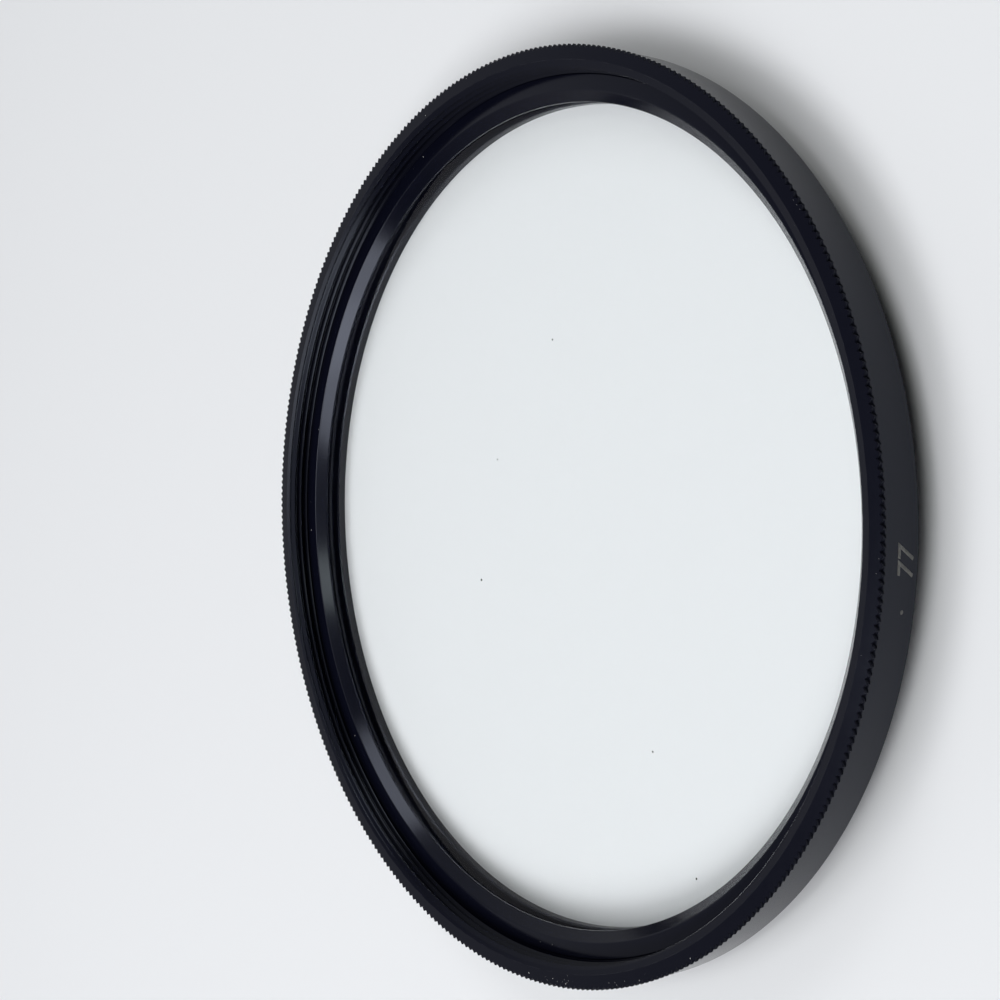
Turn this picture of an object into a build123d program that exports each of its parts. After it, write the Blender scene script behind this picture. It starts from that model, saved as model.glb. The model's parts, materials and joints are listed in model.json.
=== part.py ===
from build123d import *
import os

# Screw-in lens filter lying on its rear face: a turned aluminium ring, a flat glass disc and the ring
# that retains it. Millimetres. The origin is the centre of the rear face, and +Z runs along the optical
# axis towards the front. Both filter threads are plain walls at the thread's nominal diameter.

# Threads
thread_diameter = 77.0
thread_allowance = 0.04  # radial, taken off the male wall and added to the female wall
spigot_length = 2.3
spigot_chamfer = 0.3
front_thread_depth = 2.2
lead_in_width = 0.33
lead_in_depth = 0.105

# Walls, measured along the radius from the thread's nominal diameter
rim_wall = 1.5  # out to the smooth outer wall
counterbore_step = 0.43  # in to the retaining ring's counterbore
spigot_wall = 1.2  # in to the glass pocket
shoulder_edge = 0.12

# Knurled rim
knurl_count = 400
knurl_band = 0.3
knurl_depth = 0.3
knurl_rise = 0.1  # radial, from the smooth wall out to the tips of the teeth

# Glass, the ledge it lies on and the lip round the rear opening
glass_thickness = 1.5
glass_bevel = 0.2
glass_clearance = 0.1  # radial, between the glass and its pocket
ledge_width = 0.58  # how far the ledge reaches under the glass
ledge_height = 1.6
ledge_edge = 0.15
rear_lip_width = 0.69  # how far the lip reaches in from the wall below the ledge
rear_lip_height = 0.85
rear_lip_chamfer = 0.15

# Retaining ring
retainer_clearance = 0.02  # radial, between the retaining ring and its counterbore
retainer_relief = 0.15  # axial, so that the ring bears on the glass before the counterbore's floor
retainer_height = 1.0
retainer_face = 1.4  # width of the flat front face
retainer_slope = 0.85  # width of the sloped inner face
retainer_lip = 0.18  # height of the straight wall beside the glass
retainer_edge = 0.08

# Radii
thread_radius = thread_diameter / 2
spigot_radius = thread_radius - thread_allowance
bore_radius = thread_radius + thread_allowance
ring_radius = thread_radius + rim_wall
tooth_tip_radius = ring_radius + knurl_rise
tooth_root_radius = tooth_tip_radius - knurl_depth
knurl_core_radius = tooth_root_radius - knurl_depth
counterbore_radius = thread_radius - counterbore_step
pocket_radius = thread_radius - spigot_wall
glass_radius = pocket_radius - glass_clearance
ledge_radius = glass_radius - ledge_width
rear_lip_radius = ledge_radius - rear_lip_width
retainer_radius = counterbore_radius - retainer_clearance
retainer_face_radius = retainer_radius - retainer_face
retainer_lip_radius = retainer_face_radius - retainer_slope

# Levels above the rear face, stacked up from the ledge
glass_back = ledge_height
glass_front = glass_back + glass_thickness
counterbore_floor = glass_front - retainer_relief
thread_floor = glass_front + retainer_height
rim = thread_floor + front_thread_depth
knurl_floor = rim - knurl_band

os.makedirs("parts", exist_ok=True)

# Filter ring: the section turned about the optical axis, with the knurl's teeth round its rim
with BuildPart() as filter_ring:
    with BuildSketch(Plane.XZ):
        with BuildLine():
            Polyline(
                (rear_lip_radius, 0),
                (spigot_radius - spigot_chamfer, 0),
                (spigot_radius, spigot_chamfer),
                (spigot_radius, spigot_length),
                (ring_radius - shoulder_edge, spigot_length),
                (ring_radius, spigot_length + shoulder_edge),
                (ring_radius, knurl_floor),
                (knurl_core_radius, knurl_floor),
                (knurl_core_radius, rim),
                (bore_radius + lead_in_width, rim),
                (bore_radius, rim - lead_in_depth),
                (bore_radius, thread_floor),
                (counterbore_radius, thread_floor),
                (counterbore_radius, counterbore_floor),
                (pocket_radius, counterbore_floor),
                (pocket_radius, glass_back),
                (ledge_radius + ledge_edge, glass_back),
                (ledge_radius, glass_back - ledge_edge),
                (ledge_radius, rear_lip_height),
                (rear_lip_radius + rear_lip_chamfer, rear_lip_height),
                (rear_lip_radius, rear_lip_height - rear_lip_chamfer),
                close=True,
            )
        make_face()
    revolve(axis=Axis.Z)

    tooth_angle = 360 / knurl_count
    tooth_corners = []
    for tooth in range(knurl_count):
        tooth_corners.append(Vector(tooth_root_radius, 0).rotate(Axis.Z, tooth * tooth_angle))
        tooth_corners.append(Vector(tooth_tip_radius, 0).rotate(Axis.Z, (tooth + 0.5) * tooth_angle))
    with BuildSketch(Plane.XY.offset(knurl_floor)):
        with BuildLine():
            Polyline(*tooth_corners, close=True)
        make_face()
        Circle(knurl_core_radius, mode=Mode.SUBTRACT)
    extrude(amount=knurl_band)
filter_ring.part.label = "filter_ring"
export_step(filter_ring.part, "parts/filter_ring.step")

# Glass disc: flat on both faces, with a ground bevel round both edges
with BuildPart() as glass_disc:
    with BuildSketch(Plane.XY.offset(glass_back)):
        Circle(glass_radius)
    extrude(amount=glass_thickness)
    chamfer(glass_disc.edges().filter_by(GeomType.CIRCLE), length=glass_bevel)
glass_disc.part.label = "glass_disc"
export_step(glass_disc.part, "parts/glass_disc.step")

# Retaining ring: a flat front face, then a slope down to a thin straight lip on the glass
with BuildPart() as retaining_ring:
    with BuildSketch(Plane.XZ):
        with BuildLine():
            Polyline(
                (retainer_lip_radius, glass_front),
                (retainer_radius, glass_front),
                (retainer_radius, thread_floor - retainer_edge),
                (retainer_radius - retainer_edge, thread_floor),
                (retainer_face_radius, thread_floor),
                (retainer_lip_radius, glass_front + retainer_lip),
                close=True,
            )
        make_face()
    revolve(axis=Axis.Z)
retaining_ring.part.label = "retaining_ring"
export_step(retaining_ring.part, "parts/retaining_ring.step")
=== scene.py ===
"""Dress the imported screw-in lens filter and light it on a plain floor.

Three turned pieces replace the solids of the same shape: the knurled ring with both of its threads cut, the
ring that retains the glass, and the glass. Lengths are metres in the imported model's own frame, with +Z along
the optical axis and the rear face at height zero.
"""

import json
import logging
import math
import random
from collections.abc import Callable, Iterable, Sequence
from dataclasses import dataclass, field
from enum import Enum

import bmesh
import bpy
from mathutils import Matrix, Vector


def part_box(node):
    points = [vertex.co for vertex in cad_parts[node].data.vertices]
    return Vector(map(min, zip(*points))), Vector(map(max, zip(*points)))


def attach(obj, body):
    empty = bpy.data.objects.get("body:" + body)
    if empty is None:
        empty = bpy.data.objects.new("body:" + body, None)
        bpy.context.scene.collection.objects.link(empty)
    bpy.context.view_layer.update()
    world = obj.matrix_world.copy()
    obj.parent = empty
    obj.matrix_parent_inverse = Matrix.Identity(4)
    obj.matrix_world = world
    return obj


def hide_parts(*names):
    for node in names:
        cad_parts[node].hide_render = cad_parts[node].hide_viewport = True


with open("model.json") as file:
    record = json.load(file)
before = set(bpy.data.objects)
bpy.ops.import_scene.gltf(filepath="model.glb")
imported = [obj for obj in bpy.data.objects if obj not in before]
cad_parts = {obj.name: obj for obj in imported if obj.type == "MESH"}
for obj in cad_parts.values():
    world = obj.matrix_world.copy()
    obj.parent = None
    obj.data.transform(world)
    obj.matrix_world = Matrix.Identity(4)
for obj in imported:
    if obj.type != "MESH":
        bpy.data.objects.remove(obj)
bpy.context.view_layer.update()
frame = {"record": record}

log = logging.getLogger("lens_filter")

Colour = tuple[float, float, float]
Levels = tuple[tuple[float, float], ...]
NodeOwner = bpy.types.Material | bpy.types.World

MM = 0.001
WELD = 1e-7  # closer points than this are one point
NEAR = 1e-6  # a point this close to a place is at it
TEETH = 400  # knurl teeth round the rim
COLUMNS = 2 * TEETH  # one column of vertices for each tooth's tip and one for its root
FLANK_SHARE = 0.29  # of a thread's pitch, along the axis
INNER_FLAT_SHARE = 0.17
SMOOTH_UP_TO = 35.0  # degrees between two faces that still shade as one
BODY = "root"


def leave_edit_mode() -> None:
    """Go back to object mode with nothing selected."""
    if bpy.context.mode != "OBJECT":
        bpy.ops.object.mode_set(mode="OBJECT")
    bpy.ops.object.select_all(action="DESELECT")


def make_active(piece: bpy.types.Object) -> None:
    """Select one object alone and make it the active one."""
    leave_edit_mode()
    piece.select_set(True)
    bpy.context.view_layer.objects.active = piece


def open_mesh(piece: bpy.types.Object, select_by: str = "VERT") -> None:
    """Enter edit mode on one object with nothing selected.

    Args:
        piece: The mesh object to edit.
        select_by: The element that selection works on: VERT, EDGE or FACE.
    """
    make_active(piece)
    bpy.ops.object.mode_set(mode="EDIT")
    bpy.ops.mesh.select_mode(type=select_by)
    bpy.ops.mesh.select_all(action="DESELECT")


def select_vertices(piece: bpy.types.Object, wanted: Callable[[Vector], bool]) -> None:
    """Select the vertices of the open mesh whose place passes a test.

    Args:
        piece: The object in edit mode.
        wanted: Says whether the vertex at a place is selected.
    """
    mesh = bmesh.from_edit_mesh(piece.data)
    for vertex in mesh.verts:
        vertex.select_set(wanted(vertex.co))
    mesh.select_flush_mode()
    bmesh.update_edit_mesh(piece.data)


def select_edges(piece: bpy.types.Object, wanted: Callable[[bmesh.types.BMEdge], bool]) -> None:
    """Select the edges of the open mesh that pass a test.

    Args:
        piece: The object in edit mode, with selection by edge.
        wanted: Says whether an edge is selected.
    """
    mesh = bmesh.from_edit_mesh(piece.data)
    for edge in mesh.edges:
        edge.select_set(wanted(edge))
    mesh.select_flush_mode()
    bmesh.update_edit_mesh(piece.data)


def join_pieces(pieces: Sequence[bpy.types.Object], name: str) -> bpy.types.Object:
    """Join several objects into the first of them.

    Args:
        pieces: The objects to join.
        name: The joined object's name.

    Returns:
        The joined object.
    """
    make_active(pieces[0])
    for piece in pieces:
        piece.select_set(True)
    bpy.ops.object.join()
    pieces[0].name = name
    return pieces[0]


def face_outwards(piece: bpy.types.Object) -> None:
    """Weld a closed mesh and turn all its faces outwards."""
    open_mesh(piece)
    bpy.ops.mesh.select_all(action="SELECT")
    bpy.ops.mesh.remove_doubles(threshold=WELD)
    bpy.ops.mesh.normals_make_consistent(inside=False)
    leave_edit_mode()


def resize_mesh(piece: bpy.types.Object, factor: float) -> None:
    """Resize the mesh of a piece about the origin."""
    make_active(piece)
    piece.scale = (factor, factor, factor)
    bpy.ops.object.transform_apply(location=False, rotation=False, scale=True)


def smooth_over(piece: bpy.types.Object, keep: Callable[[bmesh.types.BMEdge], bool]) -> None:
    """Shade a mesh smooth except over its sharp edges, with its flat faces kept flat.

    Args:
        piece: The finished mesh object.
        keep: Says which further edges stay sharp.
    """
    make_active(piece)
    bpy.ops.object.shade_smooth_by_angle(angle=math.radians(SMOOTH_UP_TO))
    open_mesh(piece, "EDGE")
    select_edges(piece, keep)
    bpy.ops.mesh.mark_sharp()
    resize_mesh(piece, 1.0 / MM)  # in metres the faces are too small to be weighed by area
    flats = piece.modifiers.new("flat_faces", "WEIGHTED_NORMAL")
    flats.keep_sharp = True
    bpy.ops.object.modifier_apply(modifier=flats.name)
    resize_mesh(piece, MM)


def radius_of(place: Vector) -> float:
    """Distance of a place from the optical axis."""
    return math.hypot(place.x, place.y)


def polar(azimuth: float, radius: float, height: float) -> Vector:
    """Place at an azimuth in degrees, a radius and a height."""
    turn = math.radians(azimuth)
    return Vector((radius * math.cos(turn), radius * math.sin(turn), height))


def no_edge(edge: bmesh.types.BMEdge) -> bool:
    """Pick no edge at all."""
    return False


@dataclass(frozen=True)
class Corner:
    """A corner of a turned section, and how far from it its rounding starts."""

    radius: float
    height: float
    rounding: float = 0.0

    @property
    def place(self) -> Vector:
        """The corner's place in the section plane, at azimuth zero."""
        return Vector((self.radius, 0.0, self.height))


class Lathe:
    """Draws a section corner by corner and turns it round the optical axis."""

    rounding_steps = 3

    def draw(self, name: str, corners: Sequence[Corner], closed: bool) -> bpy.types.Object:
        """Draw a section as a wire, with its corners rounded.

        Args:
            name: The new object's name.
            corners: The section's corners in order.
            closed: Whether the last corner joins the first.

        Returns:
            The object, in edit mode.
        """
        leave_edit_mode()
        bpy.ops.mesh.primitive_plane_add(size=MM)
        piece = bpy.context.object
        piece.name = name
        bpy.ops.object.mode_set(mode="EDIT")
        bpy.ops.mesh.select_mode(type="VERT")
        bpy.ops.mesh.select_all(action="SELECT")
        bpy.ops.mesh.merge(type="CENTER")
        bpy.ops.transform.translate(value=corners[0].place)
        for corner, following in zip(corners, corners[1:]):
            step = following.place - corner.place
            bpy.ops.mesh.extrude_region_move(TRANSFORM_OT_translate={"value": step})
        if closed:
            ends = (corners[0].place, corners[-1].place)
            select_vertices(piece, lambda place: any((place - end).length < NEAR for end in ends))
            bpy.ops.mesh.edge_face_add()
        for corner in corners:
            if corner.rounding:
                select_vertices(piece, lambda place: (place - corner.place).length < NEAR)
                bpy.ops.mesh.bevel(offset=corner.rounding, segments=self.rounding_steps, affect="VERTICES")
        return piece

    def turn(self, name: str, corners: Sequence[Corner], closed: bool = False) -> bpy.types.Object:
        """Turn a section into a round wall.

        Args:
            name: The new object's name.
            corners: The section's corners in order.
            closed: Whether the last corner joins the first.

        Returns:
            The turned object.
        """
        piece = self.draw(name, corners, closed)
        bpy.ops.mesh.select_all(action="SELECT")
        bpy.ops.mesh.spin(steps=COLUMNS, angle=math.tau, center=(0.0, 0.0, 0.0), axis=(0.0, 0.0, 1.0))
        face_outwards(piece)
        return piece


@dataclass(frozen=True)
class Thread:
    """A right-handed V thread, wound as a helical strip, cut off level below and level or as a cone above.

    The winding rises by one whole step from each column to the next. Every height of the section is a whole
    number of steps above the lower cut, so a level cut meets each column in exactly one vertex. The cone is
    cut level too, while each vertex stands higher by the cone's rise from there out to its mouth.
    """

    name: str
    pitch: float
    inner_radius: float
    outer_radius: float
    bottom: float
    height: float
    crest_height: float  # of the middle of an inner flat above the lower cut, at azimuth zero
    mouth_radius: float = 0.0
    mouth_slope: float = 0.0  # rise of the upper cut's cone along the radius
    spare_turns: int = 3  # wound past either end, and cut off

    @property
    def step(self) -> float:
        """How far the winding rises from one column to the next."""
        return self.pitch / COLUMNS

    @property
    def top(self) -> float:
        """Height of the upper cut, at its mouth where it is a cone."""
        return self.bottom + round(self.height / self.step) * self.step

    def section(self) -> list[Corner]:
        """Section of the thread, with spare turns past either end.

        Returns:
            The corners from the lowest to the highest.
        """
        flank = round(COLUMNS * FLANK_SHARE)
        inner_flat = round(COLUMNS * INNER_FLAT_SHARE / 2)
        outer_flat = COLUMNS // 2 - inner_flat - flank
        flat_edge = COLUMNS // 20  # what rounding takes off a flat
        flank_edge = COLUMNS // 25  # what rounding takes off a flank
        bite = (self.outer_radius - self.inner_radius) * flank_edge / flank
        one_turn = (
            (flat_edge - inner_flat, self.inner_radius),
            (inner_flat - flat_edge, self.inner_radius),
            (inner_flat + flank_edge, self.inner_radius + bite),
            (inner_flat + flank - flank_edge, self.outer_radius - bite),
            (inner_flat + flank + flat_edge, self.outer_radius),
            (inner_flat + flank + 2 * outer_flat - flat_edge, self.outer_radius),
            (inner_flat + flank + 2 * outer_flat + flank_edge, self.outer_radius - bite),
            (COLUMNS - inner_flat - flank_edge, self.inner_radius + bite),
        )
        start = round(self.crest_height / self.step)
        turns = math.ceil(self.height / self.pitch)
        corners = []
        for turn in range(-self.spare_turns, turns + self.spare_turns):
            for level, radius in one_turn:
                height = self.bottom + (start + turn * COLUMNS + level) * self.step
                corners.append(Corner(radius, height))
        return corners

    def stand(self, piece: bpy.types.Object, way: int) -> None:
        """Lift each vertex by the cone's rise from it out to the mouth, or lower it again.

        Args:
            piece: The wound thread.
            way: One to lift and minus one to lower.
        """
        leave_edit_mode()
        for vertex in piece.data.vertices:
            rise = (self.mouth_radius - radius_of(vertex.co)) * self.mouth_slope
            vertex.co.z += way * round(rise / self.step) * self.step

    def cut(self, piece: bpy.types.Object, level: float, below: bool) -> None:
        """Cut the wound thread off at a level.

        Args:
            piece: The wound thread.
            level: Height of the cut.
            below: Whether what lies below goes, or else what lies above.
        """
        open_mesh(piece)
        bpy.ops.mesh.select_all(action="SELECT")
        bpy.ops.mesh.remove_doubles(threshold=WELD)
        bpy.ops.mesh.bisect(
            plane_co=(0.0, 0.0, level),
            plane_no=(0.0, 0.0, 1.0),
            clear_inner=below,
            clear_outer=not below,
            threshold=WELD,
        )
        leave_edit_mode()

    def wind(self) -> bpy.types.Object:
        """Wind the section once round the axis and cut it to length.

        Returns:
            The thread as an open round wall.
        """
        piece = Lathe().draw(self.name, self.section(), closed=False)
        make_active(piece)
        winding = piece.modifiers.new("winding", "SCREW")
        winding.axis = "Z"
        winding.angle = math.tau
        winding.screw_offset = self.pitch
        winding.steps = COLUMNS
        winding.render_steps = COLUMNS
        bpy.ops.object.modifier_apply(modifier=winding.name)
        self.cut(piece, self.bottom, below=True)
        self.stand(piece, 1)
        self.cut(piece, self.top, below=False)
        self.stand(piece, -1)
        return piece


class NodeBench:
    """Lays out the nodes of one material or of the world."""

    def __init__(self, owner: NodeOwner, output: str = "ShaderNodeOutputMaterial") -> None:
        """Start a material or a world with its output node alone."""
        self.owner = owner
        owner.use_nodes = True
        self.tree = owner.node_tree
        self.tree.nodes.clear()
        self.output = self.add(output)

    def add(self, kind: str, settings: dict | None = None, inputs: dict | None = None) -> bpy.types.Node:
        """Add a node and fill its sockets.

        Args:
            kind: The node's type name.
            settings: Values of the node's own properties.
            inputs: For each socket, a value or the socket that feeds it.

        Returns:
            The new node.
        """
        node = self.tree.nodes.new(kind)
        for name, value in (settings or {}).items():
            setattr(node, name, value)
        for socket, value in (inputs or {}).items():
            if isinstance(value, bpy.types.NodeSocket):
                self.tree.links.new(value, node.inputs[socket])
            else:
                node.inputs[socket].default_value = value
        return node

    def math(self, operation: str, *terms: object) -> bpy.types.NodeSocket:
        """Result of a Math node on numbers or sockets."""
        node = self.add("ShaderNodeMath", {"operation": operation}, dict(enumerate(terms)))
        return node.outputs[0]

    def ramp(self, value: bpy.types.NodeSocket, low: float, high: float) -> bpy.types.NodeSocket:
        """Smooth step of a value from zero at one level to one at another."""
        settings = {"interpolation_type": "SMOOTHSTEP"}
        node = self.add("ShaderNodeMapRange", settings, {0: value, 1: low, 2: high})
        return node.outputs[0]

    def noise(self, vector: bpy.types.NodeSocket, size: float, detail: float) -> bpy.types.NodeSocket:
        """Noise over a vector.

        Args:
            vector: The coordinates.
            size: The size of the noise's features, in the coordinates' own units.
            detail: The number of finer octaves.

        Returns:
            The noise's value socket.
        """
        inputs = {"Vector": vector, "Scale": 1.0 / size, "Detail": detail}
        return self.add("ShaderNodeTexNoise", {}, inputs).outputs["Fac"]

    def mix(self, share: bpy.types.NodeSocket, first: Colour, second: Colour) -> bpy.types.NodeSocket:
        """Colour between two colours by a share."""
        inputs = {0: share, 6: (*first, 1.0), 7: (*second, 1.0)}
        return self.add("ShaderNodeMix", {"data_type": "RGBA"}, inputs).outputs[2]

    def levels(self, lift: bpy.types.NodeSocket, levels: Levels) -> bpy.types.NodeSocket:
        """Level that goes by elevation.

        Args:
            lift: The sine of the elevation.
            levels: Each elevation in degrees with its level.

        Returns:
            The level's socket.
        """
        node = self.add("ShaderNodeValToRGB", {}, {0: lift})
        stops = node.color_ramp.elements
        stops.remove(stops[1])
        for number, (elevation, level) in enumerate(levels):
            position = math.sin(math.radians(elevation))
            stop = stops.new(position) if number else stops[0]
            stop.position = position
            stop.color = (level, level, level, 1.0)
        return node.outputs[0]

    def object_place(self) -> bpy.types.NodeSocket:
        """Coordinates in the piece's own frame."""
        return self.add("ShaderNodeTexCoord").outputs["Object"]

    def section_place(self, place: bpy.types.NodeSocket) -> tuple[bpy.types.NodeSocket, bpy.types.NodeSocket]:
        """Radius and height of a place, as on a drawing of the turned section.

        Args:
            place: Coordinates in the piece's own frame.

        Returns:
            The radius socket and the height socket.
        """
        flat = self.add("ShaderNodeVectorMath", {"operation": "MULTIPLY"}, {0: place, 1: (1.0, 1.0, 0.0)})
        radius = self.add("ShaderNodeVectorMath", {"operation": "LENGTH"}, {0: flat.outputs[0]})
        height = self.add("ShaderNodeSeparateXYZ", {}, {0: place})
        return radius.outputs["Value"], height.outputs["Z"]

    def finish(self, surface: bpy.types.NodeSocket) -> NodeOwner:
        """Link the surface shader and return the material or world."""
        self.tree.links.new(surface, self.output.inputs["Surface"])
        return self.owner


@dataclass(frozen=True)
class TurnedBand:
    """A stretch of a turned section, with how strongly it is painted lighter as rubbed metal and a painted
    highlight, or how much coarser it is cut.
    """

    inner_radius: float
    outer_radius: float
    bottom: float
    top: float
    strength: float


@dataclass(frozen=True)
class AnodisedFinish:
    """Black anodised aluminium with fine turning lines, grain, and edges painted lighter, partly as rubbed
    metal and partly as a painted highlight.
    """

    name: str
    colour: Colour
    gloss_tint: Colour
    roughness: float
    roughness_spread: float
    index: float
    line_width: float
    line_depth: float
    grain_size: float
    grain_depth: float
    # band painted lighter in colour: partly rubbed bare metal, partly a painted highlight along the edge
    worn_and_highlight: TurnedBand | None = None
    coarse: TurnedBand | None = None
    # lighter colour of that band, partly rubbed metal and partly a painted highlight
    worn_and_highlight_colour: Colour = (0.16, 0.16, 0.17)
    patch_size: float = 1.2 * MM
    patch_limits: tuple[float, float] = (0.38, 0.62)
    band_softness: float = 0.012 * MM

    def band_mask(
        self, bench: NodeBench, band: TurnedBand, radius: bpy.types.NodeSocket, height: bpy.types.NodeSocket
    ) -> bpy.types.NodeSocket:
        """Mask that has a band's strength inside it and is zero outside.

        Args:
            bench: The material's bench.
            band: The band to mask.
            radius: The radius socket.
            height: The height socket.

        Returns:
            The mask's socket.
        """
        soft = self.band_softness
        sides = (
            bench.ramp(radius, band.inner_radius - soft, band.inner_radius),
            bench.ramp(radius, band.outer_radius + soft, band.outer_radius),
            bench.ramp(height, band.bottom - soft, band.bottom),
            bench.ramp(height, band.top + soft, band.top),
        )
        mask = bench.math("MULTIPLY", sides[0], sides[1])
        mask = bench.math("MULTIPLY", mask, sides[2])
        mask = bench.math("MULTIPLY", mask, sides[3])
        return bench.math("MULTIPLY", mask, band.strength)

    def material(self) -> bpy.types.Material:
        """Lay out the finish.

        Returns:
            The new material.
        """
        bench = NodeBench(bpy.data.materials.new(self.name))
        place = bench.object_place()
        radius, height = bench.section_place(place)
        section = bench.add("ShaderNodeCombineXYZ", {}, {0: radius, 1: height}).outputs[0]
        lines = bench.noise(section, self.line_width, 3.0)
        grain = bench.noise(place, self.grain_size, 2.0)
        patches = bench.noise(place, self.patch_size, 4.0)
        colour: object = (*self.colour, 1.0)
        # the band is painted lighter and broken into patches: partly rubbed metal, partly a painted highlight
        if self.worn_and_highlight:
            mask = self.band_mask(bench, self.worn_and_highlight, radius, height)
            share = bench.math("MULTIPLY", mask, bench.ramp(patches, *self.patch_limits))
            colour = bench.mix(share, self.colour, self.worn_and_highlight_colour)
        spread = bench.math("MULTIPLY", bench.math("SUBTRACT", patches, 0.5), self.roughness_spread)
        roughness = bench.math("ADD", spread, self.roughness)
        if self.coarse:
            mask = self.band_mask(bench, self.coarse, radius, height)
            roughness = bench.math("ADD", roughness, mask)
        line_bump = bench.add(
            "ShaderNodeBump", {}, {"Strength": 1.0, "Distance": self.line_depth, "Height": lines}
        )
        grain_bump = bench.add(
            "ShaderNodeBump",
            {},
            {"Strength": 1.0, "Distance": self.grain_depth, "Height": grain, "Normal": line_bump.outputs[0]},
        )
        shader = bench.add(
            "ShaderNodeBsdfPrincipled",
            {},
            {
                "Base Color": colour,
                "Roughness": roughness,
                "IOR": self.index,
                "Specular Tint": (*self.gloss_tint, 1.0),
                "Normal": grain_bump.outputs[0],
            },
        )
        return bench.finish(shader.outputs[0])


@dataclass(frozen=True)
class GlassFinish:
    """Clear coated glass that lets lamp light through."""

    name: str
    colour: Colour
    index: float
    gloss: Colour  # white is bare glass, and a coating takes it down

    def material(self) -> bpy.types.Material:
        """Lay out the finish.

        Returns:
            The new material.
        """
        bench = NodeBench(bpy.data.materials.new(self.name))
        glass = bench.add(
            "ShaderNodeBsdfPrincipled",
            {},
            {
                "Base Color": (*self.colour, 1.0),
                "Roughness": 0.0,
                "IOR": self.index,
                "Specular Tint": (*self.gloss, 1.0),
                "Transmission Weight": 1.0,
            },
        )
        clear = bench.add("ShaderNodeBsdfTransparent", {}, {"Color": (*self.colour, 1.0)})
        ray = bench.add("ShaderNodeLightPath")
        lighting = bench.math("MAXIMUM", ray.outputs["Is Shadow Ray"], ray.outputs["Is Diffuse Ray"])
        inputs = {0: lighting, 1: glass.outputs[0], 2: clear.outputs[0]}
        return bench.finish(bench.add("ShaderNodeMixShader", {}, inputs).outputs[0])


@dataclass(frozen=True)
class MottledFinish:
    """A matt colour that varies a little, as paint in a mark, dust or a plain floor does."""

    name: str
    colour: Colour
    second_colour: Colour
    patch: float
    roughness: float

    def material(self) -> bpy.types.Material:
        """Lay out the finish.

        Returns:
            The new material.
        """
        bench = NodeBench(bpy.data.materials.new(self.name))
        patches = bench.ramp(bench.noise(bench.object_place(), self.patch, 3.0), 0.3, 0.7)
        shader = bench.add(
            "ShaderNodeBsdfPrincipled",
            {},
            {
                "Base Color": bench.mix(patches, self.colour, self.second_colour),
                "Roughness": self.roughness,
            },
        )
        return bench.finish(shader.outputs[0])


def dress(piece: bpy.types.Object, material: bpy.types.Material, slot: str) -> None:
    """Give a piece its material and its body, and log its record slot.

    Args:
        piece: The finished piece.
        material: The material that covers it.
        slot: The record's material slot.
    """
    piece.data.materials.clear()
    piece.data.materials.append(material)
    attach(piece, BODY)
    log.info("%s: %d faces, slot %s", piece.name, len(piece.data.polygons), slot)


def mount_radius(name: str) -> float:
    """Radius of one of the record's round mounts, in metres."""
    mounts = {mount["name"]: mount for mount in frame["record"]["mounts"]}
    return mounts[name]["dims"]["r_mm"] * MM


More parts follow.
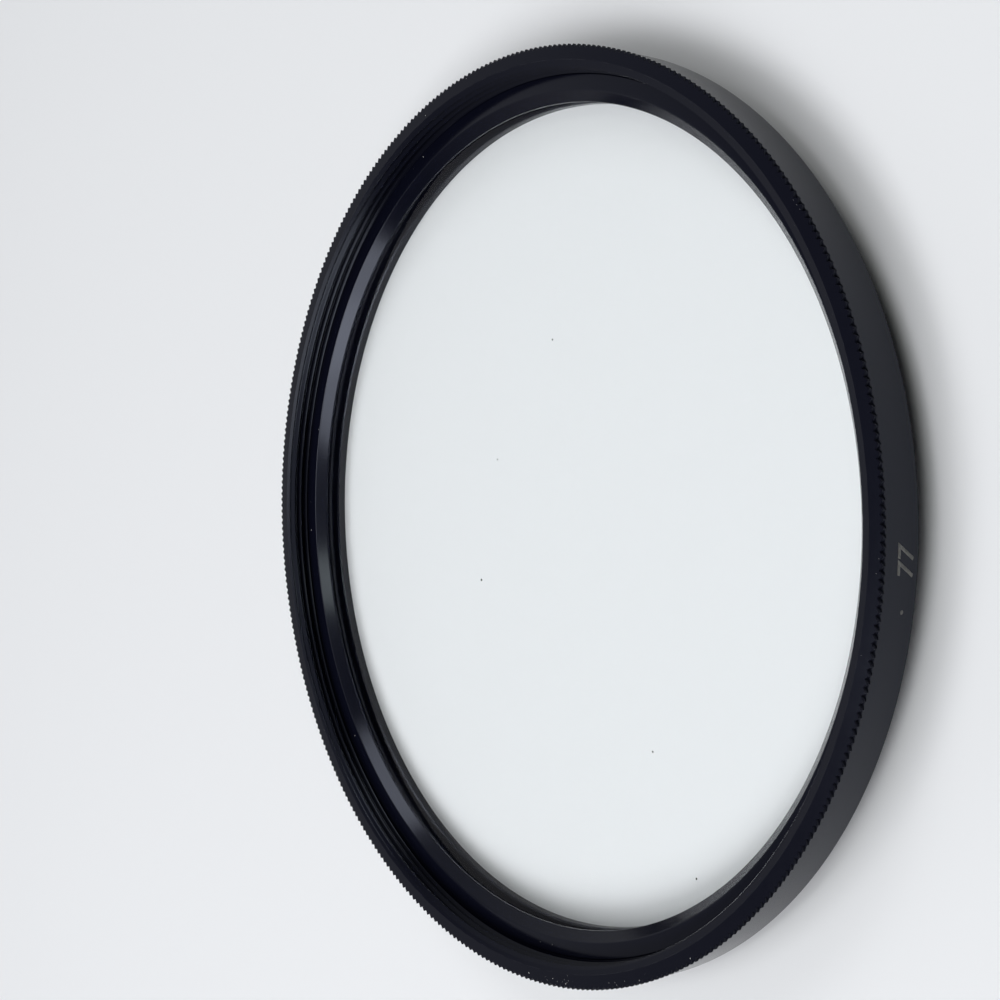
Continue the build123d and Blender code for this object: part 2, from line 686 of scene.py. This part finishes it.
@dataclass
class FilterRing:
    """The knurled ring that carries both threads and the seat of the glass."""

    pitch: float = 0.75 * MM
    lead_in_width: float = 0.33 * MM
    lead_in_depth: float = 0.105 * MM
    knurl_rise: float = 0.1 * MM
    knurl_depth: float = 0.3 * MM
    knurl_band: float = 0.3 * MM
    knurl_edge: float = 0.02 * MM
    shoulder: float = 2.3 * MM
    shoulder_edge: float = 0.12 * MM
    runout: float = 0.12 * MM
    spigot_chamfer: float = 0.3 * MM
    counterbore_wall: float = 0.02 * MM
    counterbore_relief: float = 0.15 * MM
    counterbore_edge: float = 0.03 * MM
    pocket_wall: float = 0.1 * MM
    ledge_width: float = 0.58 * MM
    ledge_edge: float = 0.15 * MM
    rear_lip_width: float = 0.69 * MM
    rear_lip_height: float = 0.85 * MM
    rear_lip_chamfer: float = 0.15 * MM
    crest_height: float = -0.06 * MM  # from a thread's lower end, at azimuth zero
    soft_edge: float = 0.03 * MM
    # width of the rim's inner edge that is painted lighter, partly rubbed metal and partly a painted highlight
    rubbed_and_highlight_width: float = 0.04 * MM

    def __post_init__(self) -> None:
        """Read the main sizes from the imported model."""
        ring_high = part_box("filter_ring")[1]
        glass_low, glass_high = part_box("glass_disc")
        retainer_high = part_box("retaining_ring")[1]
        self.tip_radius: float = ring_high.x / math.cos(math.pi / TEETH)
        self.outer_radius: float = self.tip_radius - self.knurl_rise
        self.rim: float = ring_high.z
        self.thread_floor: float = retainer_high.z
        self.glass_back: float = glass_low.z
        self.glass_front: float = glass_high.z
        self.bore_radius: float = mount_radius("front_thread")
        self.spigot_radius: float = mount_radius("rear_thread")
        self.counterbore_radius: float = retainer_high.x + self.counterbore_wall
        self.pocket_radius: float = glass_high.x + self.pocket_wall
        self.ledge_radius: float = glass_high.x - self.ledge_width
        self.rear_lip_radius: float = self.ledge_radius - self.rear_lip_width
        self.root_radius: float = self.tip_radius - self.knurl_depth
        self.knurl_floor: float = self.rim - self.knurl_band
        self.lead_in_radius: float = self.bore_radius + self.lead_in_width

    @property
    def thread_depth(self) -> float:
        """Radial depth of a V thread whose flanks stand at sixty degrees to each other."""
        return self.pitch * FLANK_SHARE * math.sqrt(3.0)

    @property
    def lead_in_slope(self) -> float:
        """Rise of the lead-in's cone along the radius."""
        return self.lead_in_depth / self.lead_in_width

    def front_thread(self) -> Thread:
        """The female thread, from the retaining ring up to the lead-in's cone."""
        return Thread(
            name="front_thread",
            pitch=self.pitch,
            inner_radius=self.bore_radius - self.thread_depth,
            outer_radius=self.bore_radius,
            bottom=self.thread_floor,
            height=self.rim - self.thread_floor,
            crest_height=self.crest_height,
            mouth_radius=self.lead_in_radius,
            mouth_slope=self.lead_in_slope,
        )

    def rear_thread(self) -> Thread:
        """The male thread on the spigot."""
        return Thread(
            name="rear_thread",
            pitch=self.pitch,
            inner_radius=self.spigot_radius - self.thread_depth,
            outer_radius=self.spigot_radius,
            bottom=self.spigot_chamfer,
            height=self.shoulder - self.runout - self.spigot_chamfer,
            crest_height=self.crest_height,
        )

    def outside(self) -> list[Corner]:
        """Section from the lead-in over the rim and down to the male thread."""
        return [
            Corner(self.lead_in_radius, self.rim),
            Corner(self.tip_radius - self.knurl_edge, self.rim),
            Corner(self.tip_radius, self.rim - self.knurl_edge),
            Corner(self.tip_radius, self.knurl_floor),
            Corner(self.outer_radius, self.knurl_floor),
            Corner(self.outer_radius, self.shoulder + self.shoulder_edge, self.soft_edge),
            Corner(self.outer_radius - self.shoulder_edge, self.shoulder, self.soft_edge),
            Corner(self.spigot_radius, self.shoulder),
            Corner(self.spigot_radius, self.shoulder - self.runout / 2),
        ]

    def inside(self) -> list[Corner]:
        """Section from the male thread over the rear face and up to the female thread."""
        foot_radius = self.spigot_radius - self.thread_depth - self.soft_edge
        return [
            Corner(foot_radius, 0.0),
            Corner(self.rear_lip_radius, 0.0, self.soft_edge),
            Corner(self.rear_lip_radius, self.rear_lip_height - self.rear_lip_chamfer, self.soft_edge),
            Corner(self.rear_lip_radius + self.rear_lip_chamfer, self.rear_lip_height, self.soft_edge),
            Corner(self.ledge_radius, self.rear_lip_height),
            Corner(self.ledge_radius, self.glass_back - self.ledge_edge, self.soft_edge),
            Corner(self.ledge_radius + self.ledge_edge, self.glass_back, self.soft_edge),
            Corner(self.pocket_radius, self.glass_back),
            Corner(self.pocket_radius, self.glass_front - self.counterbore_relief),
            Corner(self.counterbore_radius, self.glass_front - self.counterbore_relief),
            Corner(self.counterbore_radius, self.thread_floor - self.counterbore_edge),
        ]

    def close_seam(self, ring: bpy.types.Object, low: float, high: float) -> None:
        """Bridge the two open loops that lie between two heights.

        Args:
            ring: The ring, in edit mode with selection by edge.
            low: The lower height.
            high: The upper height.
        """
        select_edges(
            ring,
            lambda edge: edge.is_boundary and all(low < vertex.co.z < high for vertex in edge.verts),
        )
        bpy.ops.mesh.bridge_edge_loops()

    def cut_knurl(self, ring: bpy.types.Object) -> None:
        """Press every other column of the knurled band in, down to the roots of its teeth."""
        lowest = self.knurl_floor - NEAR
        innermost = self.tip_radius - self.knurl_edge - NEAR

        def is_root(place: Vector) -> bool:
            column = round(math.atan2(place.y, place.x) / math.tau * COLUMNS)
            return place.z > lowest and radius_of(place) > innermost and column % 2 == 0

        open_mesh(ring)
        select_vertices(ring, is_root)
        share = self.root_radius / self.tip_radius
        bpy.ops.transform.resize(value=(share, share, 1.0), center_override=(0.0, 0.0, 0.0))

    def borders_lead_in(self, edge: bmesh.types.BMEdge) -> bool:
        """Whether an edge runs round either border of the shallow lead-in, which stay crisp."""
        radii = [radius_of(vertex.co) for vertex in edge.verts]
        for vertex, radius in zip(edge.verts, radii):
            cone = self.rim - (self.lead_in_radius - radius) * self.lead_in_slope
            if abs(vertex.co.z - cone) > 2 * NEAR:
                return False
        return abs(radii[0] - radii[1]) < edge.calc_length() / 2

    def build(self) -> bpy.types.Object:
        """Turn the walls, wind the threads, close the seams between them and cut the knurl.

        Returns:
            The finished ring.
        """
        lathe = Lathe()
        front = self.front_thread()
        rear = self.rear_thread()
        parts = [
            lathe.turn("outside", self.outside()),
            lathe.turn("inside", self.inside()),
            front.wind(),
            rear.wind(),
        ]
        ring = join_pieces(parts, "knurled_ring")
        open_mesh(ring, "EDGE")
        slack = 10 * NEAR
        self.close_seam(ring, self.rim - 3 * self.lead_in_depth, self.rim + NEAR)
        self.close_seam(ring, self.thread_floor - 2 * self.counterbore_edge, self.thread_floor + slack)
        self.close_seam(ring, rear.top - slack, self.shoulder)
        self.close_seam(ring, -NEAR, rear.bottom + slack)
        self.cut_knurl(ring)
        face_outwards(ring)
        smooth_over(ring, self.borders_lead_in)
        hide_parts("filter_ring")
        return ring

    def finish(self) -> AnodisedFinish:
        """Satin black finish, coarser on the knurl, with the rim's inner edge painted lighter, partly as
        rubbed metal and partly as a painted highlight.
        """
        below_rim = self.rim - self.rubbed_and_highlight_width
        rubbed_and_highlight_inner = self.lead_in_radius - self.rubbed_and_highlight_width
        return AnodisedFinish(
            name="satin_black_anodised",
            colour=(0.0033, 0.0036, 0.0085),
            gloss_tint=(0.74, 0.82, 1.0),
            roughness=0.17,
            roughness_spread=0.05,
            index=1.3,
            line_width=0.09 * MM,
            line_depth=0.0008 * MM,
            grain_size=0.05 * MM,
            grain_depth=0.0006 * MM,
            # the rim's inner edge painted lighter, partly rubbed metal and partly a painted highlight
            worn_and_highlight=TurnedBand(rubbed_and_highlight_inner, self.lead_in_radius, below_rim, self.rim, 0.04),
            coarse=TurnedBand(self.root_radius, self.tip_radius, self.knurl_floor, below_rim, 0.5),
        )


@dataclass
class RetainingRing:
    """The turned ring in front of the glass: a flat face, a smooth slope and a thin lip."""

    face_width: float = 1.4 * MM
    slope_width: float = 0.85 * MM
    lip_height: float = 0.18 * MM
    outer_edge: float = 0.08 * MM
    slope_edge: float = 0.07 * MM
    lip_edge: float = 0.03 * MM

    def __post_init__(self) -> None:
        """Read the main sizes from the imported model."""
        low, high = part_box("retaining_ring")
        self.outer_radius: float = high.x
        self.back: float = low.z
        self.front: float = high.z

    @property
    def face_radius(self) -> float:
        """Radius where the flat face turns into the slope."""
        return self.outer_radius - self.face_width

    @property
    def lip_radius(self) -> float:
        """Radius of the lip beside the glass."""
        return self.face_radius - self.slope_width

    def build(self) -> bpy.types.Object:
        """Turn the ring.

        Returns:
            The finished ring.
        """
        corners = [
            Corner(self.lip_radius, self.back),
            Corner(self.outer_radius, self.back),
            Corner(self.outer_radius, self.front - self.outer_edge),
            Corner(self.outer_radius - self.outer_edge, self.front),
            Corner(self.face_radius, self.front, self.slope_edge),
            Corner(self.lip_radius, self.back + self.lip_height, self.lip_edge),
        ]
        ring = Lathe().turn("glass_retainer", corners, closed=True)
        smooth_over(ring, no_edge)
        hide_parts("retaining_ring")
        return ring

    def finish(self) -> AnodisedFinish:
        """Smooth black finish."""
        return AnodisedFinish(
            name="smooth_black_anodised",
            colour=(0.003, 0.0034, 0.0085),
            gloss_tint=(0.76, 0.82, 1.0),
            roughness=0.15,
            roughness_spread=0.04,
            index=1.40,
            line_width=0.12 * MM,
            line_depth=0.0008 * MM,
            grain_size=0.05 * MM,
            grain_depth=0.0004 * MM,
        )


@dataclass
class GlassDisc:
    """The flat clear glass, ground to a bevel round both of its edges."""

    bevel: float = 0.2 * MM
    sides: int = 512

    def build(self) -> bpy.types.Object:
        """Cut the disc and grind its edges.

        Returns:
            The finished disc.
        """
        low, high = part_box("glass_disc")
        leave_edit_mode()
        bpy.ops.mesh.primitive_cylinder_add(
            vertices=self.sides,
            radius=high.x,
            depth=high.z - low.z,
            location=(0.0, 0.0, (low.z + high.z) / 2),
        )
        disc = bpy.context.object
        disc.name = "clear_disc"
        bpy.ops.object.transform_apply(location=True, rotation=True, scale=True)
        open_mesh(disc, "EDGE")
        select_edges(disc, lambda edge: abs(edge.verts[0].co.z - edge.verts[1].co.z) < NEAR)
        bpy.ops.mesh.bevel(offset=self.bevel, segments=1, affect="EDGES")
        face_outwards(disc)
        smooth_over(disc, no_edge)
        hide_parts("glass_disc")
        return disc

    def finish(self) -> GlassFinish:
        """Clear glass with the faintest tint, under a coating that takes its gloss down."""
        return GlassFinish("clear_coated_glass", (0.992, 1.0, 1.0), 1.52, (0.08, 0.09, 0.12))


@dataclass
class SizeNumber:
    """The thread's diameter in plain figures, with a small dot before it, on the ring's smooth wall."""

    figures: str = "77"
    azimuth: float = 264.2
    dot_azimuth: float = 259.4
    low: float = 2.95 * MM
    figure_height: float = 1.65 * MM
    dot_radius: float = 0.16 * MM
    slant: float = 0.2
    boldness: float = 0.012
    proud: float = 0.006 * MM
    thickness: float = 0.02 * MM
    strip: float = 0.3 * MM

    def wrap(self, mark: bpy.types.Object, ring: bpy.types.Object, azimuth: float, height: float) -> None:
        """Stand a flat mark up beside the wall and wrap it on.

        Args:
            mark: A flat mesh round the origin that faces +Z and reads along +X.
            ring: The ring that it is wrapped on.
            azimuth: Where its middle goes, in degrees.
            height: How high its middle goes.
        """
        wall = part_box("filter_ring")[1].x
        outward = polar(azimuth, 1.0, 0.0)
        upward = Vector((0.0, 0.0, 1.0))
        along = upward.cross(outward)
        turned = Matrix((along, upward, outward)).transposed().to_4x4()
        mark.matrix_world = Matrix.Translation(outward * (wall + MM) + upward * height) @ turned
        make_active(mark)
        bpy.ops.object.transform_apply(location=True, rotation=True, scale=True)
        wrap = mark.modifiers.new("wrap", "SHRINKWRAP")
        wrap.target = ring
        wrap.wrap_method = "NEAREST_SURFACEPOINT"
        wrap.wrap_mode = "ABOVE_SURFACE"
        wrap.offset = self.proud
        bpy.ops.object.modifier_apply(modifier=wrap.name)
        body = mark.modifiers.new("body", "SOLIDIFY")
        body.thickness = self.thickness
        body.offset = -1.0
        bpy.ops.object.modifier_apply(modifier=body.name)

    def flat_figures(self) -> bpy.types.Object:
        """Figures as a flat mesh round the origin, cut into narrow strips that can follow the wall.

        Returns:
            The flat mesh object.
        """
        leave_edit_mode()
        bpy.ops.object.text_add()
        mark = bpy.context.object
        mark.data.body = self.figures
        mark.data.shear = self.slant
        mark.data.offset = self.boldness
        mark.data.align_x = "CENTER"
        bpy.ops.object.convert(target="MESH")
        mark = bpy.context.object
        tall = max(vertex.co.y for vertex in mark.data.vertices)
        mark.scale = Vector((1.0, 1.0, 1.0)) * (self.figure_height / tall)
        bpy.ops.object.transform_apply(location=True, rotation=True, scale=True)
        half_width = max(abs(vertex.co.x) for vertex in mark.data.vertices)
        open_mesh(mark)
        bpy.ops.mesh.select_all(action="SELECT")
        bpy.ops.mesh.remove_doubles(threshold=WELD)
        bpy.ops.transform.translate(value=(0.0, -self.figure_height / 2, 0.0))
        cuts = int(half_width / self.strip)
        for cut in range(-cuts, cuts + 1):
            bpy.ops.mesh.select_all(action="SELECT")
            place = (cut * self.strip, 0.0, 0.0)
            bpy.ops.mesh.bisect(plane_co=place, plane_no=(1.0, 0.0, 0.0), threshold=WELD)
        return mark

    def flat_dot(self) -> bpy.types.Object:
        """Dot as a flat mesh round the origin."""
        leave_edit_mode()
        bpy.ops.mesh.primitive_circle_add(vertices=20, radius=self.dot_radius, fill_type="NGON")
        return bpy.context.object

    def build(self, ring: bpy.types.Object) -> bpy.types.Object:
        """Make the figures and the dot on the ring's wall.

        Args:
            ring: The finished ring.

        Returns:
            The mark as one object.
        """
        figures = self.flat_figures()
        self.wrap(figures, ring, self.azimuth, self.low + self.figure_height / 2)
        dot = self.flat_dot()
        self.wrap(dot, ring, self.dot_azimuth, self.low + self.figure_height / 2)
        mark = join_pieces([figures, dot], "size_number")
        face_outwards(mark)
        return mark

    def finish(self) -> MottledFinish:
        """Grey that has filled the cut figures."""
        return MottledFinish("grey_figures", (0.075, 0.075, 0.07), (0.13, 0.13, 0.12), 0.25 * MM, 0.6)


class Carrier(Enum):
    """A level surface that dust lies on."""

    RIM = "filter_ring"
    RETAINER = "retaining_ring"
    GLASS = "glass_disc"

    @property
    def height(self) -> float:
        """Height of the surface."""
        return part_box(self.value)[1].z


@dataclass(frozen=True)
class DustPatch:
    """A stretch of a level surface that flecks are strewn over."""

    carrier: Carrier
    azimuth: float
    spread: float
    inner_radius: float
    outer_radius: float
    flecks: int


@dataclass
class Dust:
    """Loose flecks: one fleck is shaped, and each other is a copy of it with its own size and turn."""

    name: str
    slot: str
    patches: tuple[DustPatch, ...]
    smallest: float
    largest: float
    finish: MottledFinish
    seed: int
    fleck_shape: tuple[float, float, float] = (1.0, 0.7, 0.45)
    unevenness: float = 0.35
    lift_share: float = 0.2  # how high a fleck's middle lies, as a share of its size

    def first_fleck(self) -> bpy.types.Object:
        """Shape one flat uneven fleck of unit radius at the origin.

        Returns:
            The fleck.
        """
        leave_edit_mode()
        bpy.ops.mesh.primitive_ico_sphere_add(subdivisions=1, radius=1.0)
        fleck = bpy.context.object
        open_mesh(fleck)
        bpy.ops.mesh.select_all(action="SELECT")
        bpy.ops.transform.vertex_random(offset=self.unevenness, uniform=0.4, normal=0.3, seed=self.seed)
        bpy.ops.transform.resize(value=self.fleck_shape, center_override=(0.0, 0.0, 0.0))
        leave_edit_mode()
        return fleck

    def build(self) -> bpy.types.Object:
        """Strew the flecks over their patches.

        Returns:
            All flecks as one object.
        """
        draw = random.Random(self.seed)
        pattern = self.first_fleck()
        flecks = []
        for patch in self.patches:
            for _ in range(patch.flecks):
                fleck = pattern.copy()
                fleck.data = pattern.data.copy()
                bpy.context.collection.objects.link(fleck)
                size = self.smallest + (self.largest - self.smallest) * draw.random() ** 2
                azimuth = patch.azimuth + patch.spread * draw.uniform(-1.0, 1.0)
                radius = draw.uniform(patch.inner_radius, patch.outer_radius)
                height = patch.carrier.height + self.lift_share * size
                fleck.location = polar(azimuth, radius, height)
                fleck.rotation_euler = (0.0, 0.0, draw.uniform(0.0, math.tau))
                fleck.scale = (size, size, size)
                flecks.append(fleck)
        make_active(pattern)
        bpy.ops.object.delete()
        dust = join_pieces(flecks, self.name)
        bpy.ops.object.transform_apply(location=True, rotation=True, scale=True)
        face_outwards(dust)
        return dust


def strewn_dust() -> list[Dust]:
    """Pale dust on the rings and the few dark specks on the glass.

    Returns:
        The kinds of dust, in the order in which they are made.
    """
    rim = (38.9 * MM, 39.85 * MM)
    face = (36.75 * MM, 37.9 * MM)
    pale = Dust(
        name="pale_dust",
        slot="anodised_ring",
        patches=(
            DustPatch(Carrier.RIM, 186.0, 3.0, 39.3 * MM, 39.8 * MM, 9),
            DustPatch(Carrier.RIM, 203.0, 8.0, 39.4 * MM, 39.8 * MM, 7),
            DustPatch(Carrier.RIM, 90.0, 180.0, *rim, 14),
            DustPatch(Carrier.RETAINER, 179.0, 4.0, 37.3 * MM, 37.5 * MM, 2),
            DustPatch(Carrier.RETAINER, 24.0, 2.0, *face, 3),
            DustPatch(Carrier.RETAINER, 120.0, 120.0, *face, 5),
        ),
        smallest=0.02 * MM,
        largest=0.08 * MM,
        finish=MottledFinish("pale_dust", (0.42, 0.42, 0.41), (0.65, 0.65, 0.63), 0.05 * MM, 0.9),
        seed=77,
    )
    speck_places = ((350.7, 15.6), (211.7, 34.1), (122.3, 10.6), (214.6, 23.6), (47.8, 8.0))
    dark = Dust(
        name="dark_specks",
        slot="clear_glass",
        patches=tuple(
            DustPatch(Carrier.GLASS, azimuth, 0.0, radius * MM, radius * MM, 1)
            for azimuth, radius in speck_places
        ),
        smallest=0.09 * MM,
        largest=0.15 * MM,
        finish=MottledFinish("dark_specks", (0.02, 0.02, 0.02), (0.05, 0.05, 0.05), 0.05 * MM, 0.9),
        seed=5,
    )
    return [pale, dark]


@dataclass(frozen=True)
class Softbox:
    """A soft lamp that faces the middle of the filter."""

    name: str
    azimuth: float
    elevation: float
    width: float
    height: float
    radiance: float
    colour: Colour = (1.0, 1.0, 1.0)
    distance: float = 0.7

    def place(self) -> bpy.types.Object:
        """Hang the lamp.

        Returns:
            The lamp object.
        """
        lift = math.radians(self.elevation)
        towards = polar(self.azimuth, math.cos(lift), math.sin(lift))
        leave_edit_mode()
        bpy.ops.object.light_add(type="AREA", location=towards * self.distance)
        lamp = bpy.context.object
        lamp.name = self.name
        lamp.rotation_euler = towards.to_track_quat("Z", "Y").to_euler()
        lamp.data.shape = "RECTANGLE"
        lamp.data.size = self.width
        lamp.data.size_y = self.height
        lamp.data.color = self.colour
        lamp.data.energy = self.radiance * math.pi * self.width * self.height
        return lamp


@dataclass
class Studio:
    """The plain floor, the soft light and the camera."""

    floor_size: float = 6.0
    floor_colour: Colour = (0.80, 0.815, 0.845)
    floor_second_colour: Colour = (0.805, 0.82, 0.85)
    lamps: tuple[Softbox, ...] = field(
        default_factory=lambda: (
            Softbox("window_light", 202.5, 52.3, 0.56, 0.34, 4.2),
            Softbox("window_core", 199.0, 51.5, 0.16, 0.30, 1.5),
            Softbox("far_light", 127.0, 68.0, 0.36, 0.26, 4.6),
            Softbox("side_light", 2.0, 44.0, 0.25, 0.25, 3.4),
            Softbox("small_light", 293.0, 60.0, 0.12, 0.16, 3.8, (0.95, 1.0, 0.86)),
        )
    )
    room_levels: Levels = (
        (0.0, 0.04),
        (30.0, 0.03),
        (48.0, 0.0),
        (57.0, 0.2),
        (62.0, 0.38),
        (75.0, 0.65),
        (90.0, 1.05),
    )
    glow_levels: Levels = (
        (0.0, 0.34),
        (16.0, 0.4),
        (30.0, 0.48),
        (36.0, 0.54),
        (42.0, 0.36),
        (48.0, 0.15),
        (58.0, 0.08),
    )
    glow_azimuth: float = 70.0  # the side on which the room is brighter
    lens_mm: float = 56.206
    sensor_mm: float = 36.0
    camera_elevation: float = 38.13356
    camera_distance: float = 135.8984 * MM
    camera_pan: float = 0.4204
    camera_tilt: float = -0.668
    camera_roll: float = -1.970254

    def lay_floor(self) -> None:
        """Lay the pale floor that the filter lies on."""
        leave_edit_mode()
        bpy.ops.mesh.primitive_plane_add(size=self.floor_size)
        floor = bpy.context.object
        floor.name = "floor"
        finish = MottledFinish("pale_floor", self.floor_colour, self.floor_second_colour, 0.2, 0.9)
        floor.data.materials.append(finish.material())

    def light_room(self) -> None:
        """Set a dim room whose brightness goes by elevation, with one side of it brighter."""
        bench = NodeBench(bpy.data.worlds.new("room"), "ShaderNodeOutputWorld")
        direction = bench.add("ShaderNodeTexCoord").outputs["Generated"]
        lift = bench.add("ShaderNodeSeparateXYZ", {}, {0: direction}).outputs["Z"]
        side = polar(self.glow_azimuth, 1.0, 0.0)
        facing = bench.add("ShaderNodeVectorMath", {"operation": "DOT_PRODUCT"}, {0: direction, 1: side})
        glow = bench.math("MAXIMUM", facing.outputs["Value"], 0.0)
        room = bench.levels(lift, self.room_levels)
        level = bench.math("MULTIPLY_ADD", glow, bench.levels(lift, self.glow_levels), room)
        white = (1.0, 1.0, 1.0, 1.0)
        background = bench.add("ShaderNodeBackground", {}, {"Color": white, "Strength": level})
        bpy.context.scene.world = bench.finish(background.outputs[0])

    def set_camera(self) -> None:
        """Stand the camera where the photograph was taken from."""
        lift = math.radians(self.camera_elevation)
        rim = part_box("filter_ring")[1].z
        right = Vector((0.0, -math.sin(lift), -math.cos(lift)))
        down = Vector((-1.0, 0.0, 0.0))
        forward = Vector((0.0, math.cos(lift), -math.sin(lift)))
        looking = (
            Matrix.Rotation(math.radians(self.camera_roll), 3, "Z")
            @ Matrix.Rotation(math.radians(self.camera_tilt), 3, "X")
            @ Matrix.Rotation(math.radians(self.camera_pan), 3, "Y")
            @ Matrix((right, down, forward))
        )
        turned = Matrix((looking[0], -looking[1], -looking[2])).transposed().to_4x4()
        place = -forward * self.camera_distance + Vector((0.0, 0.0, rim))
        leave_edit_mode()
        bpy.ops.object.camera_add()
        camera = bpy.context.object
        camera.name = "photograph_view"
        camera.matrix_world = Matrix.Translation(place) @ turned
        camera.data.lens = self.lens_mm
        camera.data.sensor_width = self.sensor_mm
        camera.data.clip_start = MM
        bpy.context.scene.camera = camera

    def build(self) -> None:
        """Set up the floor, the lights, the camera and the plain view."""
        self.lay_floor()
        self.light_room()
        for lamp in self.lamps:
            lamp.place()
            log.info("%s at azimuth %.0f, elevation %.0f", lamp.name, lamp.azimuth, lamp.elevation)
        self.set_camera()
        bpy.context.scene.view_settings.view_transform = "Standard"


def main() -> None:
    """Build and dress every piece, then the studio."""
    logging.basicConfig(level=logging.INFO, format="%(name)s: %(message)s")
    filter_ring = FilterRing()
    ring = filter_ring.build()
    dress(ring, filter_ring.finish().material(), "anodised_ring")
    retaining_ring = RetainingRing()
    dress(retaining_ring.build(), retaining_ring.finish().material(), "anodised_retainer")
    glass_disc = GlassDisc()
    dress(glass_disc.build(), glass_disc.finish().material(), "clear_glass")
    size_number = SizeNumber()
    dress(size_number.build(ring), size_number.finish().material(), "anodised_ring")
    for dust in strewn_dust():
        dress(dust.build(), dust.finish.material(), dust.slot)
    Studio().build()


if __name__ == "__main__":
    main()
